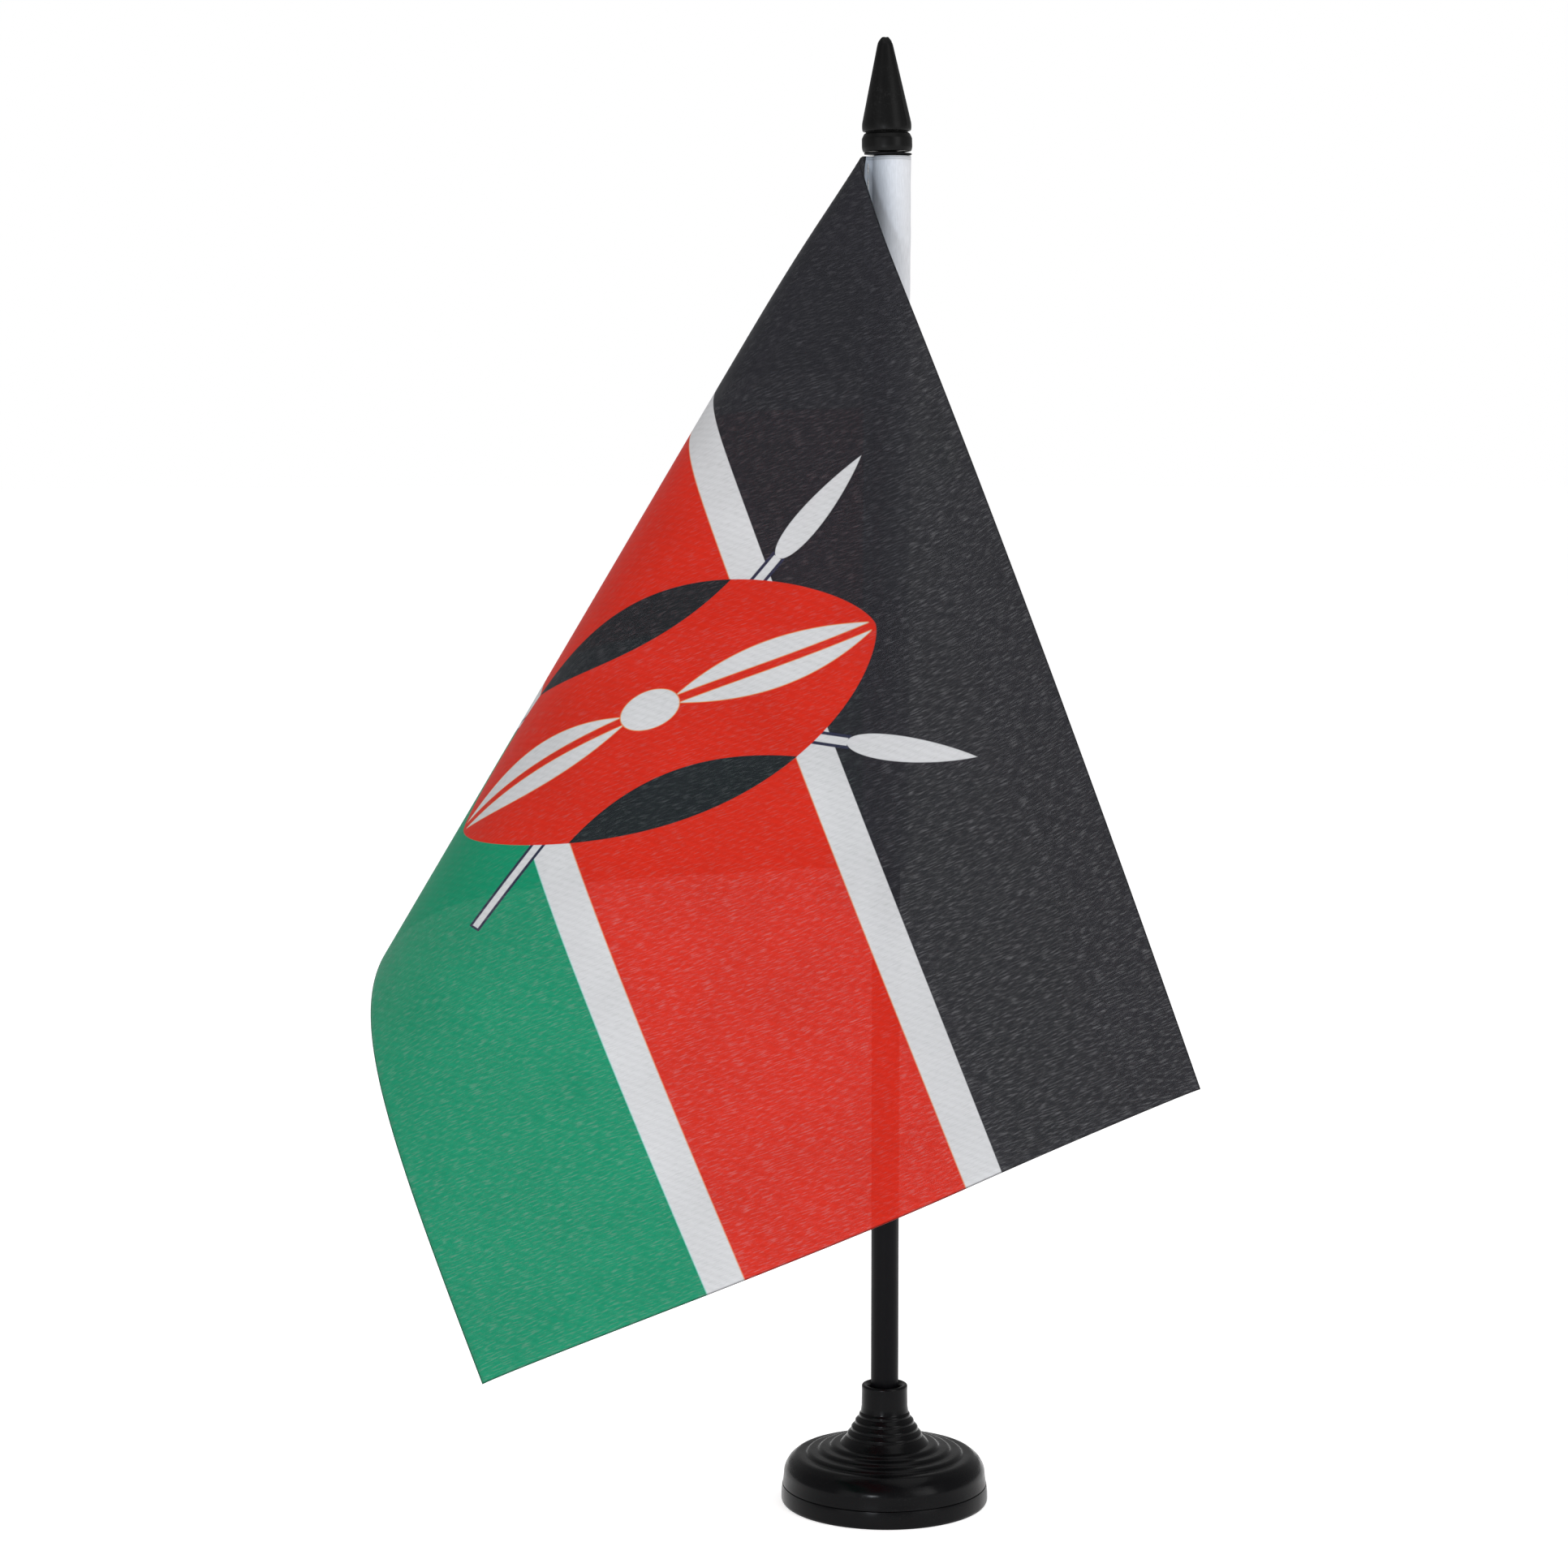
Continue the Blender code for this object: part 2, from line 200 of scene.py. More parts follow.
def feedColour(tree, socket, colour):
    feed(tree, socket, colour if isinstance(colour, bpy.types.NodeSocket) else (*colour, 1.0))


def paint(tree, under, over, mask, blend="MIX"):
    mix = tree.nodes.new("ShaderNodeMix")
    mix.data_type = "RGBA"
    mix.blend_type = blend
    feed(tree, mix.inputs["Factor"], mask)
    feedColour(tree, mix.inputs[6], under)
    feedColour(tree, mix.inputs[7], over)
    return mix.outputs[2]


def addBump(tree, shader, height, strength, distance, before=None):
    bump = tree.nodes.new("ShaderNodeBump")
    bump.inputs["Strength"].default_value = strength
    bump.inputs["Distance"].default_value = distance
    tree.links.new(height, bump.inputs["Height"])
    if before:
        tree.links.new(before, bump.inputs["Normal"])
    tree.links.new(bump.outputs["Normal"], shader.inputs["Normal"])
    return bump.outputs["Normal"]


def axes(tree, vector):
    split = tree.nodes.new("ShaderNodeSeparateXYZ")
    tree.links.new(vector, split.inputs["Vector"])
    return split.outputs["X"], split.outputs["Y"]


def flatCloth(tree):
    # The UV map of both cloths is the flat cloth, in hoists from its top corner.
    source = tree.nodes.new("ShaderNodeUVMap")
    source.uv_map = "clothMap"
    return axes(tree, source.outputs["UV"])


moulding = {                             # what the three black plastics have in common
    "cloudScale": 140.0,
    "fineScale": 2600.0,
    "peelScale": 420.0,
    "wornFrom": 0.54,                    # pointiness at which an edge starts to show wear
    "wornTo": 0.62,
    "wornRoughness": 0.2,
    "dustColour": (0.22, 0.22, 0.22),
    "peelStrength": 0.10,
    "peelDepth": 0.2 * mm,
    "streakDepth": 0.1 * mm,
    "fineStrength": 0.10,
    "fineDepth": 0.05 * mm,
}


def blackPlastic(name, settings):
    # Moulded black plastic: orange peel, fine scuffs, dust, and edges rubbed a little grey.
    material, tree, shader = newMaterial(name, settings["colour"], settings["roughness"],
                                         specular=settings["specular"])
    place = coordinates(tree)
    cloudy = textureNoise(tree, moulding["cloudScale"], 3.0, place)
    fine = textureNoise(tree, moulding["fineScale"], 2.0, place)
    streaks = textureNoise(tree, 1.0, 4.0, coordinates(tree, settings["streaks"]), 0.6)
    rubbed = tree.nodes.new("ShaderNodeNewGeometry").outputs["Pointiness"]
    edge = spread(tree, rubbed, moulding["wornFrom"], moulding["wornTo"], 0.0, settings["edgeWear"])
    dust = reckon(tree, "MULTIPLY", spread(tree, cloudy, 0.55, 0.75, 0.0, 0.5),
                  spread(tree, fine, 0.55, 0.7, 0.0, settings["dust"]))
    colour = paint(tree, settings["colour"], settings["wornColour"], edge)
    colour = paint(tree, colour, moulding["dustColour"], dust)
    tree.links.new(colour, shader.inputs["Base Color"])
    rough = reckon(tree, "ADD", spread(tree, cloudy, 0.3, 0.7, -0.05, 0.07),
                   spread(tree, streaks, 0.35, 0.7, 0.0, settings["scuffing"]))
    rough = reckon(tree, "ADD", rough, reckon(tree, "MULTIPLY", edge, moulding["wornRoughness"]))
    tree.links.new(reckon(tree, "ADD", rough, settings["roughness"]), shader.inputs["Roughness"])
    peel = textureNoise(tree, moulding["peelScale"], 2.0, place)
    first = addBump(tree, shader, peel, moulding["peelStrength"], moulding["peelDepth"])
    second = addBump(tree, shader, streaks, settings["streakStrength"], moulding["streakDepth"], first)
    addBump(tree, shader, fine, moulding["fineStrength"], moulding["fineDepth"], second)
    return material


def finishPiece(name, bm, material, body, sharp=40.0):
    mesh = bpy.data.meshes.new(name)
    bm.to_mesh(mesh)
    bm.free()
    mesh.shade_smooth()
    mesh.set_sharp_from_angle(angle=math.radians(sharp))
    mesh.materials.append(material)
    piece = bpy.data.objects.new(name, mesh)
    scene.collection.objects.link(piece)
    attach(piece, body)
    return piece


def turnedMesh(outline, steps, closed):
    # The outline is (radius, height, rounding); each corner is rounded before it is turned.
    bm = bmesh.new()
    verts = [bm.verts.new((radius, 0.0, height)) for radius, height, _ in outline]
    for pair in zip(verts, verts[1:]):
        bm.edges.new(pair)
    if closed:
        bm.edges.new((verts[-1], verts[0]))
    for rounding in sorted({corner[2] for corner in outline if corner[2] > 0.0}):
        corners = [vert for vert, point in zip(verts, outline) if point[2] == rounding]
        bmesh.ops.bevel(bm, geom=corners, offset=rounding, offset_type="OFFSET", segments=5,
                        profile=0.5, affect="VERTICES", clamp_overlap=True, material=-1)
    bmesh.ops.spin(bm, geom=bm.verts[:] + bm.edges[:], cent=(0, 0, 0), axis=(0, 0, 1),
                   dvec=(0, 0, 0), angle=math.tau, steps=steps, use_merge=True,
                   use_duplicate=False)
    bmesh.ops.remove_doubles(bm, verts=bm.verts, dist=1e-6)
    bmesh.ops.recalc_face_normals(bm, faces=bm.faces)
    return bm


clearance = 0.3 * mm                     # air left between pieces that slide or sit together

base = {
    "steps": 128,
    "seam": 3.6 * mm,                    # height at which the shell sits on its cover
    "seamGap": 0.1 * mm,
    "socketRadius": 3.08 * mm,
    "socketMouth": 0.75 * mm,            # lead-in at the top, round the pole
    "socketFoot": 1.5 * mm,
    "collarRadius": 4.68 * mm,
    "collarLength": 4.5 * mm,
    "collarWaist": 0.06 * mm,
    "ribs": 4,
    "ribRadius": 5.15 * mm,
    "ribOut": 0.8 * mm,
    "ribDown": 1.35 * mm,
    "ribShape": (                        # out, up and rounding of a rib's corners, in mm
        (-0.30, 0.42, 0.18), (0.04, 0.06, 0.24), (0.0, -0.50, 0.14)),
    "neckFoot": 13.0 * mm,
    "neckFlare": 0.25 * mm,
    "rings": 4,
    "ringFall": 0.85,                    # under 1, the rings fall fastest near the neck
    "ringHollow": 0.72,                  # shares of a ring's tread, in from its edge
    "ringEdge": 0.06,
    "ringStep": 0.16,                    # and out from it, where it drops to the next
    "ringDrop": 0.72 * mm,
    "shoulderRadius": 18.0 * mm,
    "shoulderHeight": 9.75 * mm,
    "sideShape": (                       # in from the widest, height and rounding, in mm
        (1.15, 8.6, 0.6), (0.16, 6.9, 0.7), (0.06, 5.2, 0.8)),
    "wall": 1.3 * mm,
    "lining": 1.8 * mm,                  # the wall under the rings, measured straight down
    "gloss": {"colour": (0.0022, 0.0022, 0.0027), "wornColour": (0.016, 0.016, 0.017),
              "roughness": 0.19, "specular": 0.105, "edgeWear": 0.5, "dust": 0.04,
              "scuffing": 0.10, "streaks": (260.0, 260.0, 90.0), "streakStrength": 0.05},
}


def collarOutline(top):
    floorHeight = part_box("pole")[0][2] - clearance
    socket, collar = base["socketRadius"], base["collarRadius"]
    return [(0.0, floorHeight, 0.0), (socket, floorHeight, 0.2 * mm),
            (socket, top - 0.7 * mm, 0.5 * mm), (socket + base["socketMouth"], top, 0.35 * mm),
            (collar, top, 0.55 * mm), (collar - base["collarWaist"], top - 1.3 * mm, 0.3 * mm),
            (collar, top - base["collarLength"], 0.25 * mm)]


def neckOutline(top):
    outline = []
    ribTop = top - base["collarLength"] - 1.2 * base["ribDown"]
    for rib in range(base["ribs"]):
        radius = base["ribRadius"] + rib * base["ribOut"]
        height = ribTop - rib * base["ribDown"]
        for out, up, rounding in base["ribShape"]:
            outline.append((radius + out * mm, height + up * mm, rounding * mm))
    return outline


def ringsOutline():
    start = base["ribRadius"] + base["ribs"] * base["ribOut"]
    tread = (base["shoulderRadius"] - start) / base["rings"]
    drop = base["neckFoot"] - base["shoulderHeight"]
    outline = [(start - base["neckFlare"], base["neckFoot"], 0.3 * mm)]
    for ring in range(base["rings"]):
        radius = start + (ring + 1) * tread
        height = base["neckFoot"] - drop * ((ring + 1) / base["rings"]) ** base["ringFall"]
        outline.append((radius - base["ringHollow"] * tread, height + 0.02 * mm, 0.9 * mm))
        outline.append((radius - base["ringEdge"] * tread, height, 0.5 * mm))
        if ring < base["rings"] - 1:
            outline.append((radius + base["ringStep"] * tread, height - base["ringDrop"], 0.45 * mm))
    return outline


def cavityOutline(wide, foot):
    inner = wide - 0.2 * mm - base["wall"]
    neck, roof = base["neckFoot"] - base["lining"], base["shoulderHeight"] - base["lining"]
    return [(wide + 0.16 * mm, foot, 0.08 * mm), (inner, foot, 0.0), (inner, foot + 1.2 * mm, 0.0),
            (base["shoulderRadius"] - 1.6 * mm, roof, 0.0), (base["collarRadius"] + 2.6 * mm, neck, 0.0),
            (base["collarRadius"], neck, 0.0), (base["collarRadius"], base["socketFoot"], 0.0),
            (0.0, base["socketFoot"], 0.0)]


def makeBaseShell(material):
    wide, _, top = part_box("base_shell")[1]
    side = [(wide - inwards * mm, height * mm, rounding * mm)
            for inwards, height, rounding in base["sideShape"]]
    outline = collarOutline(top) + neckOutline(top) + ringsOutline() + side
    outline += cavityOutline(wide, base["seam"] + base["seamGap"])
    bm = turnedMesh(outline, base["steps"], closed=False)
    piece = finishPiece("baseShell", bm, material, "base")
    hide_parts("base_shell")


cover = {
    "gateRadius": 1.1 * mm,              # mark left by the mould's gate, in the middle
    "gateHeight": 0.35 * mm,
    "underHeight": 0.15 * mm,            # the underside stands this far off the desk
    "grooveInner": 7.6 * mm,
    "grooveOuter": 8.4 * mm,
    "grooveHeight": 0.40 * mm,
    "footInner": 17.0 * mm,              # it stands on a ring from here to its edge
    "slope": 0.2 * mm,
    "rounding": 0.1 * mm,
    "footRounding": 0.15 * mm,
    "rimIn": 2.25 * mm,
    "rimWall": 1.1 * mm,
    "floor": 1.2 * mm,
}


def makeBaseCover(material):
    wide, _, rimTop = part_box("base_cover")[1]
    seam, slope, rounding = base["seam"], cover["slope"], cover["rounding"]
    rim = wide - cover["rimIn"]
    inner = rim - cover["rimWall"]
    under, gate, groove = cover["underHeight"], cover["gateHeight"], cover["grooveHeight"]
    outline = [(0.0, gate, 0.0), (cover["gateRadius"], gate, rounding),
               (cover["gateRadius"] + slope, under, rounding),
               (cover["grooveInner"] - slope, under, rounding),
               (cover["grooveInner"], groove, rounding), (cover["grooveOuter"], groove, rounding),
               (cover["grooveOuter"] + slope, under, rounding),
               (cover["footInner"] - 2.0 * slope, under, rounding),
               (cover["footInner"], 0.0, cover["footRounding"]),
               (wide - 0.30 * mm, 0.0, cover["footRounding"]), (wide, 0.45 * mm, 0.3 * mm),
               (wide - 0.03 * mm, seam - 1.4 * mm, 0.6 * mm), (wide - 0.22 * mm, seam, 0.08 * mm),
               (rim, seam, 0.0), (rim, rimTop, 0.0), (inner, rimTop, 0.0),
               (inner, cover["floor"], 0.0), (0.0, cover["floor"], 0.0)]
    bm = turnedMesh(outline, base["steps"], closed=False)
    piece = finishPiece("baseCover", bm, material, "base")
    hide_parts("base_cover")


washer = {
    "steel": (0.46, 0.46, 0.47),
    "rust": (0.16, 0.08, 0.045),
    "roughness": 0.36,
    "rustScale": 220.0,
    "toolMarks": 9000.0,                 # rings left by the lathe
    "markStrength": 0.2,
    "markDepth": 0.05 * mm,
}


def finishWasher():
    # The ballast keeps its CAD shape: only its turned steel is made here.
    material, tree, shader = newMaterial("turnedSteel", washer["steel"], washer["roughness"],
                                         metallic=1.0)
    place = tree.nodes.new("ShaderNodeTexCoord").outputs["Object"]
    radius = tree.nodes.new("ShaderNodeVectorMath")
    radius.operation = "LENGTH"
    tree.links.new(place, radius.inputs[0])
    rings = tree.nodes.new("ShaderNodeTexNoise")
    rings.noise_dimensions = "1D"
    rings.inputs["Scale"].default_value = washer["toolMarks"]
    tree.links.new(radius.outputs["Value"], rings.inputs["W"])
    marks = rings.outputs["Fac"]
    rust = textureNoise(tree, washer["rustScale"], 5.0, coordinates(tree), 0.65)
    colour = paint(tree, washer["steel"], washer["rust"], spread(tree, rust, 0.6, 0.75, 0.0, 0.7))
    tree.links.new(colour, shader.inputs["Base Color"])
    tree.links.new(spread(tree, marks, 0.3, 0.7, 0.28, 0.5), shader.inputs["Roughness"])
    addBump(tree, shader, marks, washer["markStrength"], washer["markDepth"])
    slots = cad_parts["ballast_washer"].data.materials
    slots.clear()
    slots.append(material)


pole = {
    "steps": 96,
    "radius": 2.78 * mm,
    "spigotRadius": 1.8 * mm,
    "neckRise": 0.25 * mm,               # the spigot starts this far above the sleeve's gap
    "edge": 0.4 * mm,
    "flangeBore": 1.9 * mm,
    "flangeRadius": 4.72 * mm,
    "flangeThickness": 0.62 * mm,
    "flangeRounding": 0.1 * mm,
    "flangeRise": 0.18 * mm,
    "flangeTilt": 0.7,                   # degrees: the flange sits a little askew
    "flangeUneven": 0.012,
    "satin": {"colour": (0.0026, 0.0025, 0.0034), "wornColour": (0.020, 0.020, 0.022),
              "roughness": 0.34, "specular": 0.08, "edgeWear": 0.4, "dust": 0.05,
              "scuffing": 0.14, "streaks": (900.0, 900.0, 14.0), "streakStrength": 0.16},
}


def makePoleRod(material, under):
    low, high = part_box("pole")
    foot, spigotTop = low[2], high[2]
    shoulder = under + pole["neckRise"]
    outline = [(0.0, foot, 0.0), (pole["radius"], foot, pole["edge"]),
               (pole["radius"], shoulder, 0.0), (pole["spigotRadius"], shoulder, 0.0),
               (pole["spigotRadius"], spigotTop, pole["edge"]), (0.0, spigotTop, 0.0)]
    bm = turnedMesh(outline, pole["steps"], closed=False)
    piece = finishPiece("poleRod", bm, material, "pole")
    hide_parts("pole")


def makePoleFlange(material, under):
    edge = pole["flangeRadius"]
    half = 0.5 * pole["flangeThickness"]
    outline = [(pole["flangeBore"], -half, 0.0), (edge, -0.6 * half, pole["flangeRounding"]),
               (edge, 0.4 * half, pole["flangeRounding"]), (pole["flangeBore"], half, 0.0)]
    bm = turnedMesh(outline, pole["steps"], closed=True)
    for vert in bm.verts:                # a moulding flash, so its rim is uneven
        turn = math.atan2(vert.co.y, vert.co.x)
        lobes = 1.0 + math.sin(3.0 * turn + 1.0)
        uneven = 1.0 - pole["flangeUneven"] * lobes * (vert.co.xy.length / edge) ** 4
        vert.co.x *= uneven
        vert.co.y *= uneven
    tilt = Matrix.Rotation(math.radians(pole["flangeTilt"]), 4, "Y")
    rise = Matrix.Translation((0.0, 0.0, under + pole["flangeRise"]))
    bmesh.ops.transform(bm, matrix=rise @ tilt, verts=bm.verts)
    finishPiece("poleFlange", bm, material, "pole")


def makePole(material):
    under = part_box("flag_sleeve")[1][2] + clearance
    makePoleRod(material, under)
    makePoleFlange(material, under)


finial = {
    "steps": 128,
    "lean": 1.3,                         # degrees: it sits a little askew on its spigot
    "shift": 0.20 * mm,
    "bore": 2.25 * mm,
    "footInner": 4.46 * mm,
    "footOuter": 4.70 * mm,
    "footDrop": 0.20 * mm,               # a lip under the ring, where it meets the flange
    "ringRadius": 4.95 * mm,
    "ringHeight": 3.35 * mm,
    "grooveRadius": 4.12 * mm,
    "coneRadius": 4.94 * mm,
    "coneStart": 4.3 * mm,
    "tipRadius": 1.25 * mm,
    "gateRadius": 0.34 * mm,
    "flash": 0.05 * mm,                  # height of the mould's parting line
    "flashTurns": (-38.0, 142.0),        # degrees round, where that line runs up
    "flashHalf": 1.5,
    "raggedFrom": 1.3 * mm,              # below the tip
    "ragged": 0.10 * mm,
    "gloss": {"colour": (0.0034, 0.0034, 0.0034), "wornColour": (0.028, 0.028, 0.027),
              "roughness": 0.31, "specular": 0.11, "edgeWear": 0.5, "dust": 0.08,
              "scuffing": 0.14, "streaks": (420.0, 420.0, 60.0), "streakStrength": 0.12},
}


def finialOutline(foot, tip, boreTop):
    ring, groove, cone = finial["ringRadius"], finial["grooveRadius"], finial["coneRadius"]
    ringTop = foot + finial["ringHeight"]
    coneFoot = foot + finial["coneStart"]
    lip = foot - finial["footDrop"]
    return [(0.0, boreTop, 0.0), (finial["bore"], boreTop, 0.0), (finial["bore"], foot, 0.15 * mm),
            (finial["footInner"], foot, 0.0), (finial["footInner"] + 0.04 * mm, lip, 0.08 * mm),
            (finial["footOuter"], lip, 0.12 * mm), (ring, foot + 0.35 * mm, 0.5 * mm),
            (ring - 0.02 * mm, ringTop - 1.0 * mm, 0.6 * mm), (ring - 0.50 * mm, ringTop, 0.55 * mm),
            (groove, ringTop + 0.10 * mm, 0.12 * mm), (groove, ringTop + 0.25 * mm, 0.12 * mm),
            (cone - 0.20 * mm, coneFoot - 0.55 * mm, 0.6 * mm), (cone, coneFoot + 0.45 * mm, 0.9 * mm),
            (finial["tipRadius"] + 0.14 * mm, tip - 0.85 * mm, 0.8 * mm),
            (0.62 * mm, tip - 0.02 * mm, 0.6 * mm),
            (finial["gateRadius"], tip - 0.06 * mm, 0.12 * mm), (0.0, tip - 0.16 * mm, 0.0)]


def makeFinial(material):
    low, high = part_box("finial")
    foot, tip = low[2], high[2]
    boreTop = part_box("pole")[1][2] + clearance
    bm = turnedMesh(finialOutline(foot, tip, boreTop), finial["steps"], closed=False)
    for vert in bm.verts:
        height = vert.co.z - foot
        inBore = vert.co.xy.length < finial["bore"] + 0.1 * mm
        if inBore and height < boreTop - foot + 0.1 * mm:
            continue
        turn = math.degrees(math.atan2(vert.co.y, vert.co.x))
        onLine = min(abs(turn - line) for line in finial["flashTurns"]) < finial["flashHalf"]
        if onLine and finial["coneStart"] < height < tip - foot - 1.0 * mm:
            vert.co += finial["flash"] * Vector((vert.co.x, vert.co.y, 0.0)).normalized()
        if height > tip - foot - finial["raggedFrom"]:   # the gate was snapped off here
            ragged = noise.noise(2600.0 * vert.co) * finial["ragged"]
            vert.co += ragged * Vector((vert.co.x, vert.co.y, 0.4 * mm)).normalized()
    about = Vector((0.0, 0.0, foot))
    lean = Matrix.Translation(about) @ Matrix.Rotation(math.radians(-finial["lean"]), 4, "Y")
    lean = Matrix.Translation((-finial["shift"], 0.0, 0.0)) @ lean
    bmesh.ops.transform(bm, matrix=lean @ Matrix.Translation(-about), verts=bm.verts)
    piece = finishPiece("finialTop", bm, material, "finial")
    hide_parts("finial")


flag = {
    "hoist": 140.0 * mm,
    "fly": 209.55 * mm,                  # printed length, from where the seam's middle is
    "tuck": 0.40 * mm,                   # the cloth runs on this far into the seam
    "thickness": 0.18 * mm,
    "columns": 210,
    "rows": 120,
    "crowding": 1.3,                     # columns lie closer near the hoist, where it folds tightest
    "edgeX": -4.33 * mm,
    "apexRise": 11.1 * mm,               # the cloth hangs as a cone rolled about this point
    "apexIn": 4.2 * mm,
    "foldStart": 0.111,                  # radians of flat cloth, seen from that point
    "foldSpread": 1.02,
    "foldTurn": 2.957,
    "frontBend": 0.289,
    "frontBendChange": -2.608,
    "hangSweep": math.radians(95.0),
    "hangSteps": 960,
    "biasGive": 3.9 * mm,                # the weave gives along the bias at mid length
    "bellySag": 1.9 * mm,                # and most of all two thirds of the way down
    "bellyShape": 9.5,                   # brings the belly's own curve up to about 1
    "cornerDroop": 2.4 * mm,
    "cornerReach": 3.5 * mm,
    "cornerShare": 0.35,                 # share of the hoist that the stretched corner takes
    "edgeBow": 1.25 * mm,
    "edgeBowShape": 0.7,
    "gather": 1.6 * mm,                  # the top corner is pulled in towards the pole
    "gatherReach": 17.0 * mm,
    "gatherEase": 3.0 * mm,
    "ripple": 0.35 * mm,
    "ripplesPerMetre": 14.0,
    "rippleEase": 60.0 * mm,
}


def hangDirections():
    # Directions from the apex at equal angles over the flat cloth, turned where it bends.
    step = flag["hangSweep"] / flag["hangSteps"]
    direction = Vector((0.0, 0.0, -1.0))
    sideways = Vector((-1.0, 0.0, 0.0))
    directions = [direction.copy()]
    for count in range(flag["hangSteps"]):
        angle = (count + 0.5) * step
        share = (angle - flag["foldStart"]) / flag["foldSpread"]
        bend = 0.0
        if 0.0 < share < 1.0:
            bend = 2.0 * flag["foldTurn"] / flag["foldSpread"] * math.sin(math.pi * share) ** 2
        if share > 0.5:
            pastFold = angle - flag["foldStart"] - 0.5 * flag["foldSpread"]
            bend += flag["frontBend"] + flag["frontBendChange"] * pastFold
        sideways.rotate(Matrix.Rotation(-bend * step, 3, direction))
        swing = Matrix.Rotation(step, 3, direction.cross(sideways))
        direction.rotate(swing)
        sideways.rotate(swing)
        directions.append(direction.copy())
    return directions


def eased(distance, reach):
    return min(1.0, max(0.0, distance) / reach)


def hangPoint(fly, down, directions, top):
    along = max(0.0, fly / flag["fly"])
    below = down / flag["hoist"]
    middle = math.sin(math.pi * min(1.0, along))
    corner = max(0.0, 1.0 - below / flag["cornerShare"]) ** 2
    down = down + flag["biasGive"] * below * middle
    down += flag["bellyShape"] * flag["bellySag"] * middle * below ** 3 * (1.0 - below)
    down += flag["cornerDroop"] * along ** 3 * corner
    bow = math.sin(math.pi * below) ** flag["edgeBowShape"]
    fly = fly - flag["edgeBow"] * along ** 4 * bow
    fly += flag["cornerReach"] * along ** 4 * corner
    out, rise = fly + flag["apexIn"], down + flag["apexRise"]
    place = math.atan2(out, rise) / flag["hangSweep"] * flag["hangSteps"]
    index = min(int(place), flag["hangSteps"] - 1)
    direction = directions[index].lerp(directions[index + 1], place - index).normalized()
    apex = Vector((flag["edgeX"] + flag["apexIn"], 0.0, top + flag["apexRise"]))
    point = apex + math.hypot(out, rise) * direction
    near = math.exp(-(math.hypot(fly, 0.6 * down) / flag["gatherReach"]) ** 2)
    point.x += flag["gather"] * near * eased(fly, flag["gatherEase"])
    often = flag["ripplesPerMetre"]
    wave = noise.noise(Vector((often * fly, often * down, 3.0)))
    point.y += flag["ripple"] * wave * eased(fly, flag["rippleEase"]) ** 2
    return point


def flyAt(share):
    return share ** flag["crowding"] * (flag["fly"] + flag["tuck"]) - flag["tuck"]


def clothGrid(columns, rows):
    # A square of one by one about the middle, with the layer for its flat map.
    bm = bmesh.new()
    bmesh.ops.create_grid(bm, x_segments=columns, y_segments=rows, size=0.5)
    return bm, bm.loops.layers.uv.new("clothMap")


def thickenCloth(piece, thickness):
    thicken = piece.modifiers.new("clothThickness", "SOLIDIFY")
    thicken.thickness = thickness
    thicken.offset = 0.0


def makeFlagPanel(material):
    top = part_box("flag_sleeve")[1][2]
    directions = hangDirections()
    bm, layer = clothGrid(flag["columns"], flag["rows"])
    for face in bm.faces:
        for loop in face.loops:
            fly = flyAt(loop.vert.co.x + 0.5) / flag["hoist"]
            loop[layer].uv = (fly, 0.5 - loop.vert.co.y)
    for vert in bm.verts:
        fly = flyAt(vert.co.x + 0.5)
        down = (0.5 - vert.co.y) * flag["hoist"]
        vert.co = hangPoint(fly, down, directions, top)
    piece = finishPiece("flagPanel", bm, material, "flag", sharp=80.0)
    thickenCloth(piece, flag["thickness"])
    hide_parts("flag_panel")


inks = {
    "black": (0.0138, 0.0138, 0.0178),
    "white": (0.565, 0.568, 0.578),
    "red": (0.550, 0.0165, 0.0052),
    "green": (0.002, 0.228, 0.112),
    "shieldBlack": (0.0100, 0.0130, 0.0160),
    "navy": (0.020, 0.022, 0.050),
    "orange": (0.62, 0.26, 0.10),
    "aqua": (0.30, 0.62, 0.58),
}
softEdge = 0.0011                        # how far an ink's edge bleeds, in hoists
stripes = {                              # all in hoists down from the top edge
    "below": ((0.30, "white", None), (0.35, "red", "orange"),
              (0.65, "white", "orange"), (0.70, "green", "aqua")),
    "trapHalf": 0.0008,                  # thin line where two inks meet
    "trapStrength": 0.6,
}
emblem = {                               # in hoists, from the emblem's middle
    "middle": (0.7177, 0.5),
    "halfLength": 0.304,
    "halfWidth": 0.165,
    "sideCurve": 1.5,
    "shieldSoft": 0.010,
    "lensEnd": 0.153,
    "lensInner": 0.095,
    "lensOuter": 0.137,
    "discLength": 0.0386,
    "discWidth": 0.0268,
    "discSoft": 0.03,
    "petalMiddle": 0.1675,
    "petalHalf": 0.1290,
    "petalInner": 0.0062,
    "petalSwell": 0.0275,
    "outline": 0.0011,                   # orange line round the white petals and disc
    "discOutline": 0.033,                # the same line, as a share of the disc
    "spearLean": 32.0,                   # degrees from the hoist
    "bladeNarrow": 0.945,                # the upper halves lean out a little more
    "shaftHalf": 0.0094,
    "shaftCore": 0.0052,
    "shaftGap": 0.004,                   # the shaft runs on this far into the blade
    "coreGap": 0.003,
    "bladeFoot": 0.255,
    "bladeLength": 0.1786,
    "bladeHalf": 0.0182,
    "bladeRise": 0.45,                   # powers of the blade's curve, from foot and from tip
    "bladeFall": 0.9,
    "bladePeak": 0.423,                  # height of that curve before it is scaled
    "buttEnd": 0.360,
}


def clamped(tree, value):
    return reckon(tree, "MAXIMUM", reckon(tree, "MINIMUM", value, 1.0), 0.0)


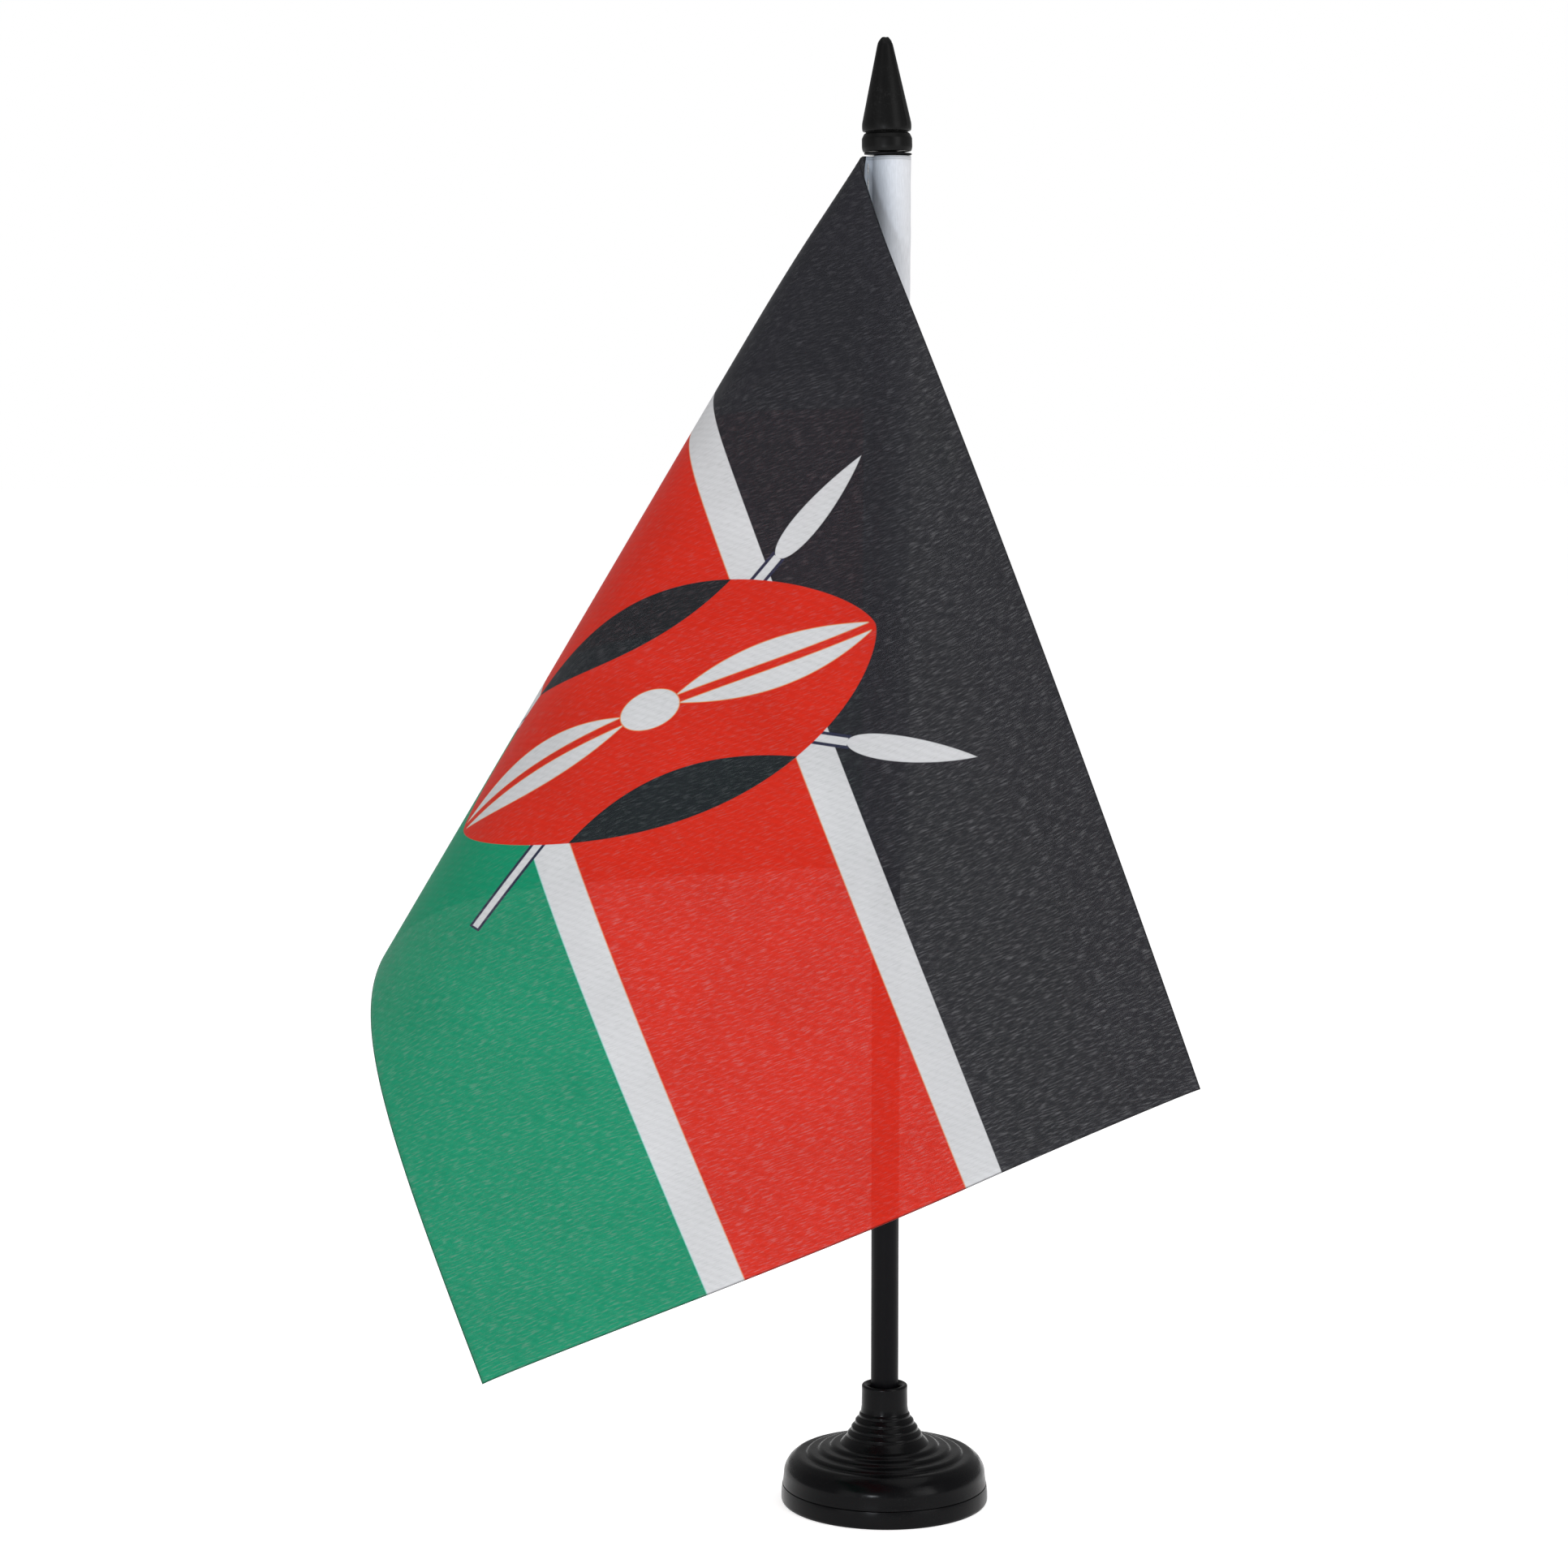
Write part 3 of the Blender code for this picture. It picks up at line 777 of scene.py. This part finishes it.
def ratio(tree, value, whole, power):
    return reckon(tree, "POWER", reckon(tree, "DIVIDE", value, whole), power)


def inside(tree, value, limit, soft=softEdge):
    # 1 where the value is under the limit, with a soft edge.
    gap = reckon(tree, "SUBTRACT", limit, value)
    return clamped(tree, reckon(tree, "ADD", reckon(tree, "DIVIDE", gap, soft), 0.5))


def both(tree, *masks):
    result = masks[0]
    for mask in masks[1:]:
        result = reckon(tree, "MULTIPLY", result, mask)
    return result


def paintStripes(tree, down):
    colour = inks["black"]
    for edge, ink, line in stripes["below"]:
        colour = paint(tree, colour, inks[ink], inside(tree, edge, down))
        if line:
            away = reckon(tree, "ABSOLUTE", reckon(tree, "SUBTRACT", down, edge))
            trap = inside(tree, away, stripes["trapHalf"])
            trap = reckon(tree, "MULTIPLY", trap, stripes["trapStrength"])
            colour = paint(tree, colour, inks[line], trap)
    return colour


def turned(tree, first, second, firstShare, secondShare, operation):
    # One axis of the spear's own frame, out of the shield's two.
    return reckon(tree, operation, reckon(tree, "MULTIPLY", first, firstShare),
                  reckon(tree, "MULTIPLY", second, secondShare))


def paintSpears(tree, colour, across, along, below):
    lean = math.radians(emblem["spearLean"])
    lower = inside(tree, 0.0, below)
    narrow = spread(tree, lower, 0.0, 1.0, emblem["bladeNarrow"], 1.0)
    across = reckon(tree, "MULTIPLY", across, narrow)
    ahead = turned(tree, across, along, math.sin(lean), math.cos(lean), "ADD")
    aside = turned(tree, across, along, math.cos(lean), math.sin(lean), "SUBTRACT")
    aside = reckon(tree, "ABSOLUTE", aside)

    bladeFoot = emblem["bladeFoot"]
    shaftEnd = spread(tree, lower, 0.0, 1.0, bladeFoot + emblem["shaftGap"], emblem["buttEnd"])
    shaft = both(tree, inside(tree, aside, emblem["shaftHalf"]), inside(tree, ahead, shaftEnd))
    coreEnd = reckon(tree, "SUBTRACT", shaftEnd, emblem["coreGap"])
    core = both(tree, inside(tree, aside, emblem["shaftCore"]), inside(tree, ahead, coreEnd))
    colour = paint(tree, colour, inks["navy"], shaft)
    colour = paint(tree, colour, inks["white"], core)

    travel = reckon(tree, "SUBTRACT", ahead, bladeFoot)
    travel = clamped(tree, reckon(tree, "DIVIDE", travel, emblem["bladeLength"]))
    left = reckon(tree, "SUBTRACT", 1.0, travel)
    swell = reckon(tree, "MULTIPLY", reckon(tree, "POWER", travel, emblem["bladeRise"]),
                   reckon(tree, "POWER", left, emblem["bladeFall"]))
    width = reckon(tree, "MULTIPLY", swell, emblem["bladeHalf"] / emblem["bladePeak"])
    width = reckon(tree, "SUBTRACT", width, softEdge)
    upper = reckon(tree, "SUBTRACT", 1.0, lower)
    return paint(tree, colour, inks["white"], both(tree, inside(tree, aside, width), upper))


def paintShield(tree, colour, across, along):
    wide = ratio(tree, across, emblem["halfWidth"], emblem["sideCurve"])
    long = ratio(tree, along, emblem["halfLength"], 2.0)
    shield = inside(tree, reckon(tree, "ADD", wide, long), 1.0, emblem["shieldSoft"])
    colour = paint(tree, colour, inks["red"], shield)

    drop = ratio(tree, along, emblem["lensEnd"], 2.0)
    bow = reckon(tree, "MULTIPLY", drop, emblem["lensOuter"] - emblem["lensInner"])
    lens = both(tree, shield, inside(tree, reckon(tree, "ADD", bow, emblem["lensInner"]), across))
    colour = paint(tree, colour, inks["shieldBlack"], lens)

    offset = reckon(tree, "SUBTRACT", along, emblem["petalMiddle"])
    offset = reckon(tree, "ABSOLUTE", reckon(tree, "DIVIDE", offset, emblem["petalHalf"]))
    rise = reckon(tree, "SUBTRACT", 1.0, reckon(tree, "POWER", offset, 2.0))
    swell = reckon(tree, "MULTIPLY", rise, emblem["petalSwell"])
    outer = reckon(tree, "ADD", swell, emblem["petalInner"])
    ring = reckon(tree, "SQRT", reckon(tree, "ADD", ratio(tree, across, emblem["discWidth"], 2.0),
                                       ratio(tree, along, emblem["discLength"], 2.0)))
    for grow, growDisc, ink in ((emblem["outline"], emblem["discOutline"], "orange"),
                                (0.0, 0.0, "white")):
        petal = both(tree, inside(tree, across, reckon(tree, "ADD", outer, grow)),
                     inside(tree, emblem["petalInner"] - grow, across),
                     inside(tree, 0.0, swell))
        disc = inside(tree, ring, 1.0 + growDisc, emblem["discSoft"])
        colour = paint(tree, colour, inks[ink], reckon(tree, "MAXIMUM", petal, disc))
    return colour


cloth = {                                # what both cloths' weave is made of, in hoists
    "dashes": (600.0, 66.0, 1.0),        # in one hoist, across it and along it
    "dashTint": (0.55, 0.55, 0.58),
    "dashStrength": 0.10,
    "twill": (46.0, 46.0, 0.0),
    "cloudScale": 9.0,
    "yarns": 298.0,
    "cutEdge": (0.0006, 0.0022),
    "cutShade": 0.35,
    "specular": 0.12,
    "sheen": 0.05,
    "sheenRoughness": 0.45,
    "reliefStrength": 0.11,
    "reliefDepth": 0.05 * mm,
    "holes": (0.085, 0.28),              # share of light that passes, at dense and at open weave
}


def yarnDashes(tree):
    return textureNoise(tree, 1.0, 2.0, coordinates(tree, cloth["dashes"], "clothMap"), 0.6)


def twillShade(tree):
    twill = tree.nodes.new("ShaderNodeTexWave")
    twill.wave_type = "BANDS"
    twill.bands_direction = "DIAGONAL"
    twill.inputs["Scale"].default_value = 1.0
    twill.inputs["Distortion"].default_value = 1.2
    tree.links.new(coordinates(tree, cloth["twill"], "clothMap"), twill.inputs["Vector"])
    return spread(tree, twill.outputs["Fac"], 0.0, 1.0, 0.965, 1.02)


def cutEdgeShade(tree, fly, down):
    # A hot knife cut the cloth, so its last quarter millimetre is dark and hard.
    length = flag["fly"] / flag["hoist"]
    fromEnds = reckon(tree, "MINIMUM", down, reckon(tree, "SUBTRACT", 1.0, down))
    fromEdge = reckon(tree, "MINIMUM", reckon(tree, "SUBTRACT", length, fly), fromEnds)
    return spread(tree, fromEdge, *cloth["cutEdge"], cloth["cutShade"], 1.0)


def weaveRelief(tree, fly, down, dashes):
    warp = reckon(tree, "SINE", reckon(tree, "MULTIPLY", fly, math.tau * cloth["yarns"]))
    weft = reckon(tree, "SINE", reckon(tree, "MULTIPLY", down, math.tau * cloth["yarns"]))
    weave = reckon(tree, "MULTIPLY", reckon(tree, "MULTIPLY", warp, weft), 0.5)
    return reckon(tree, "ADD", weave, reckon(tree, "MULTIPLY", dashes, 0.8))


def openWeave(tree, shader, dashes):
    # Daylight leaks between the yarns, so what lies behind shows faintly.
    holes = spread(tree, dashes, 0.45, 0.80, *cloth["holes"])
    clear = tree.nodes.new("ShaderNodeBsdfTransparent")
    mix = tree.nodes.new("ShaderNodeMixShader")
    tree.links.new(holes, mix.inputs["Fac"])
    tree.links.new(shader.outputs["BSDF"], mix.inputs[1])
    tree.links.new(clear.outputs["BSDF"], mix.inputs[2])
    tree.links.new(mix.outputs["Shader"], tree.nodes["Material Output"].inputs["Surface"])


def printedCloth():
    material, tree, shader = newMaterial("printedCloth", inks["red"], 0.62,
                                         specular=cloth["specular"])
    fly, down = flatCloth(tree)
    across = reckon(tree, "ABSOLUTE", reckon(tree, "SUBTRACT", fly, emblem["middle"][0]))
    below = reckon(tree, "SUBTRACT", down, emblem["middle"][1])
    along = reckon(tree, "ABSOLUTE", below)
    colour = paintStripes(tree, down)
    colour = paintSpears(tree, colour, across, along, below)
    colour = paintShield(tree, colour, across, along)

    # Yarn: short pale dashes along the hoist, a fine twill, and a cloudy take-up of the ink.
    dashes = yarnDashes(tree)
    cloudy = textureNoise(tree, cloth["cloudScale"], 4.0, coordinates(tree, mapName="clothMap"))
    pale = spread(tree, dashes, 0.52, 0.78, 0.0, cloth["dashStrength"])
    colour = paint(tree, colour, cloth["dashTint"], pale)
    shade = both(tree, spread(tree, cloudy, 0.3, 0.7, 0.95, 1.04), twillShade(tree),
                 spread(tree, dashes, 0.2, 0.5, 0.93, 1.0), cutEdgeShade(tree, fly, down))
    grey = tree.nodes.new("ShaderNodeCombineColor")
    for name in ("Red", "Green", "Blue"):
        tree.links.new(shade, grey.inputs[name])
    colour = paint(tree, colour, grey.outputs["Color"], 1.0, "MULTIPLY")
    tree.links.new(colour, shader.inputs["Base Color"])
    shader.inputs["Sheen Weight"].default_value = cloth["sheen"]
    shader.inputs["Sheen Roughness"].default_value = cloth["sheenRoughness"]
    tree.links.new(spread(tree, dashes, 0.3, 0.75, 0.70, 0.52), shader.inputs["Roughness"])
    relief = weaveRelief(tree, fly, down, dashes)
    addBump(tree, shader, relief, cloth["reliefStrength"], cloth["reliefDepth"])
    openWeave(tree, shader, dashes)
    return material


sleeve = {
    "radius": 3.67 * mm,
    "centreX": 0.73 * mm,
    "pinch": 0.20,                       # it narrows towards the seam
    "strip": 1.75 * mm,                  # flat heading where both layers are sewn together
    "stripGap": 0.22 * mm,
    "thickness": 0.16 * mm,
    "wrinkle": 0.16 * mm,
    "wrinkleRound": 1.4,                 # how often wrinkles come, round the pole
    "wrinkleUp": 55.0,                   # and up it, in each metre
    "pullUp": 210.0,                     # small pulls from the stitches
    "pullShare": 0.4,
    "hem": 0.65 * mm,
    "columns": 110,
    "rows": 150,
    "white": (0.63, 0.64, 0.67),
    "paintedShadeTint": (0.80, 0.90, 1.0),      # painted shade: bluer and darker towards its left side, where the flag shades it
    "paintedShadeFrom": -5.5 * mm,
    "paintedShadeTo": 3.5 * mm,
}


def sleeveLength():
    return math.tau * sleeve["radius"] + 2.0 * sleeve["strip"]


def sleevePoint(share, height):
    # share runs over the flat cloth: front strip, round the pole, back strip.
    distance = share * sleeveLength()
    loop = math.tau * sleeve["radius"]
    seamX = sleeve["centreX"] - sleeve["radius"]
    if distance < sleeve["strip"]:
        return Vector((seamX - sleeve["strip"] + distance, -sleeve["stripGap"], height))
    if distance > sleeve["strip"] + loop:
        return Vector((seamX - (distance - sleeve["strip"] - loop), sleeve["stripGap"], height))
    turn = math.pi * (2.0 * (distance - sleeve["strip"]) / loop - 1.0)
    slack = 1.0 - abs(turn) / math.pi
    often = sleeve["wrinkleRound"]
    wave = noise.noise(Vector((often * math.cos(turn), often * math.sin(turn),
                               sleeve["wrinkleUp"] * height)))
    pull = noise.noise(Vector((0.4 * turn, 7.0, sleeve["pullUp"] * height)))
    uneven = (wave + sleeve["pullShare"] * pull) * min(1.0, 4.0 * slack)
    radius = sleeve["radius"] + sleeve["wrinkle"] * uneven
    pinch = 1.0 - sleeve["pinch"] * max(0.0, -math.cos(turn)) ** 4
    x = sleeve["centreX"] + radius * math.cos(turn)
    y = abs(radius * math.sin(turn) * pinch)
    ease = min(1.0, slack * 12.0)
    y = math.copysign(max(y, sleeve["stripGap"] * (1.0 - ease) + y * ease), turn)
    return Vector((x, y, height))


def makeSleeve(material):
    low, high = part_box("flag_sleeve")
    foot, top = low[2], high[2]
    bm, layer = clothGrid(sleeve["columns"], sleeve["rows"])
    for face in bm.faces:
        for loop in face.loops:
            loop[layer].uv = ((loop.vert.co.x + 0.5) * sleeveLength() / flag["hoist"],
                              0.5 - loop.vert.co.y)
    for vert in bm.verts:
        height = foot + (vert.co.y + 0.5) * (top - foot)
        vert.co = sleevePoint(vert.co.x + 0.5, height)
    piece = finishPiece("sleeveCloth", bm, material, "flag", sharp=80.0)
    thickenCloth(piece, sleeve["thickness"])
    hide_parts("flag_sleeve")
    return piece


def shadeOf(colour, share):
    return tuple(share * part for part in colour)


def sleeveWhite():
    white = sleeve["white"]
    material, tree, shader = newMaterial("sleeveWhite", white, 0.75, specular=0.2)
    dashes = yarnDashes(tree)
    cloudy = textureNoise(tree, 12.0, 3.0, coordinates(tree, mapName="clothMap"))
    down = flatCloth(tree)[1]
    fromEnd = reckon(tree, "MINIMUM", down, reckon(tree, "SUBTRACT", 1.0, down))
    hemAway = reckon(tree, "SUBTRACT", fromEnd, sleeve["hem"] / flag["hoist"])
    hemLine = inside(tree, reckon(tree, "ABSOLUTE", hemAway), 0.0007, 0.0008)
    colour = white
    for share, mask in ((0.86, spread(tree, dashes, 0.35, 0.7, 1.0, 0.0)),
                        (0.93, spread(tree, cloudy, 0.4, 0.7, 0.0, 0.6)),
                        (0.60, reckon(tree, "MULTIPLY", hemLine, 0.6))):
        colour = paint(tree, colour, shadeOf(white, share), mask)
    # Painted shade: bluer and darker towards the left side, where the flag shades the sleeve.
    across = axes(tree, coordinates(tree))[0]
    paintedShade = spread(tree, across, sleeve["paintedShadeFrom"], sleeve["paintedShadeTo"], 1.0, 0.0)
    colour = paint(tree, colour, sleeve["paintedShadeTint"], paintedShade, "MULTIPLY")
    tree.links.new(colour, shader.inputs["Base Color"])
    shader.inputs["Sheen Weight"].default_value = 0.15
    relief = reckon(tree, "SUBTRACT", dashes, reckon(tree, "MULTIPLY", hemLine, 1.5))
    addBump(tree, shader, relief, 0.25, 0.08 * mm)
    return material


stitching = {
    "length": 2.3 * mm,
    "gap": 0.6 * mm,
    "thread": 0.13 * mm,                 # half its width
    "flatness": 0.8,
    "seamPlace": 0.55,                   # share of the strip, out from the pole
    "seamEnd": 1.0 * mm,
    "drift": 0.05 * mm,
    "lean": math.radians(5.0),
    "thin": (0.58, 0.59, 0.61),          # painted shade in the grooves between the thread's plies
    "full": (0.82, 0.83, 0.84),
    "plies": 900.0,
}


def makeStitches(material):
    low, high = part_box("flag_sleeve")
    pitch = stitching["length"] + stitching["gap"]
    count = int((high[2] - low[2] - 2.0 * stitching["seamEnd"]) / pitch)
    seamX = sleeve["centreX"] - sleeve["radius"] - stitching["seamPlace"] * sleeve["strip"]
    face = sleeve["stripGap"] + 0.5 * sleeve["thickness"] + 0.5 * stitching["thread"]
    shape = Matrix.Diagonal((stitching["thread"], stitching["flatness"] * stitching["thread"],
                             0.5 * stitching["length"], 1.0))
    bm = bmesh.new()
    for side in (-1.0, 1.0):
        for index in range(count):
            middle = high[2] - stitching["seamEnd"] - (index + 0.5) * pitch
            drift = stitching["drift"] * noise.noise(Vector((0.0, side, 3.7 * index)))
            lean = stitching["lean"] * noise.noise(Vector((5.0, side, 2.3 * index)))
            place = Matrix.Translation((seamX + drift, side * face, middle))
            bmesh.ops.create_uvsphere(bm, u_segments=8, v_segments=6, radius=1.0,
                                      matrix=place @ Matrix.Rotation(lean, 4, "Y") @ shape)
    piece = finishPiece("seamStitches", bm, material, "flag", sharp=80.0)
    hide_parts("sleeve_stitching")
    return piece


def whiteThread():
    material, tree, shader = newMaterial("whiteThread", (0.78, 0.79, 0.80), 0.7, specular=0.3)
    ply = tree.nodes.new("ShaderNodeTexWave")
    ply.bands_direction = "DIAGONAL"
    ply.inputs["Scale"].default_value = stitching["plies"]
    tree.links.new(coordinates(tree), ply.inputs["Vector"])
    # Painted shade: the grooves between the plies are darker.
    colour = paint(tree, stitching["thin"], stitching["full"], ply.outputs["Fac"])
    tree.links.new(colour, shader.inputs["Base Color"])
    addBump(tree, shader, ply.outputs["Fac"], 0.5, 0.04 * mm)
    return material


setUpCamera()
setUpLights()
setUpRoom()
layFloor()
print("studio ready")
glossBlack = blackPlastic("glossBlack", base["gloss"])
makeBaseShell(glossBlack)
makeBaseCover(glossBlack)
finishWasher()
print("base ready")
makePole(blackPlastic("satinBlack", pole["satin"]))
makeFinial(blackPlastic("finialBlack", finial["gloss"]))
print("pole and finial ready")
makeFlagPanel(printedCloth())
tube = makeSleeve(sleeveWhite())
stitches = makeStitches(whiteThread())
print("flag ready")
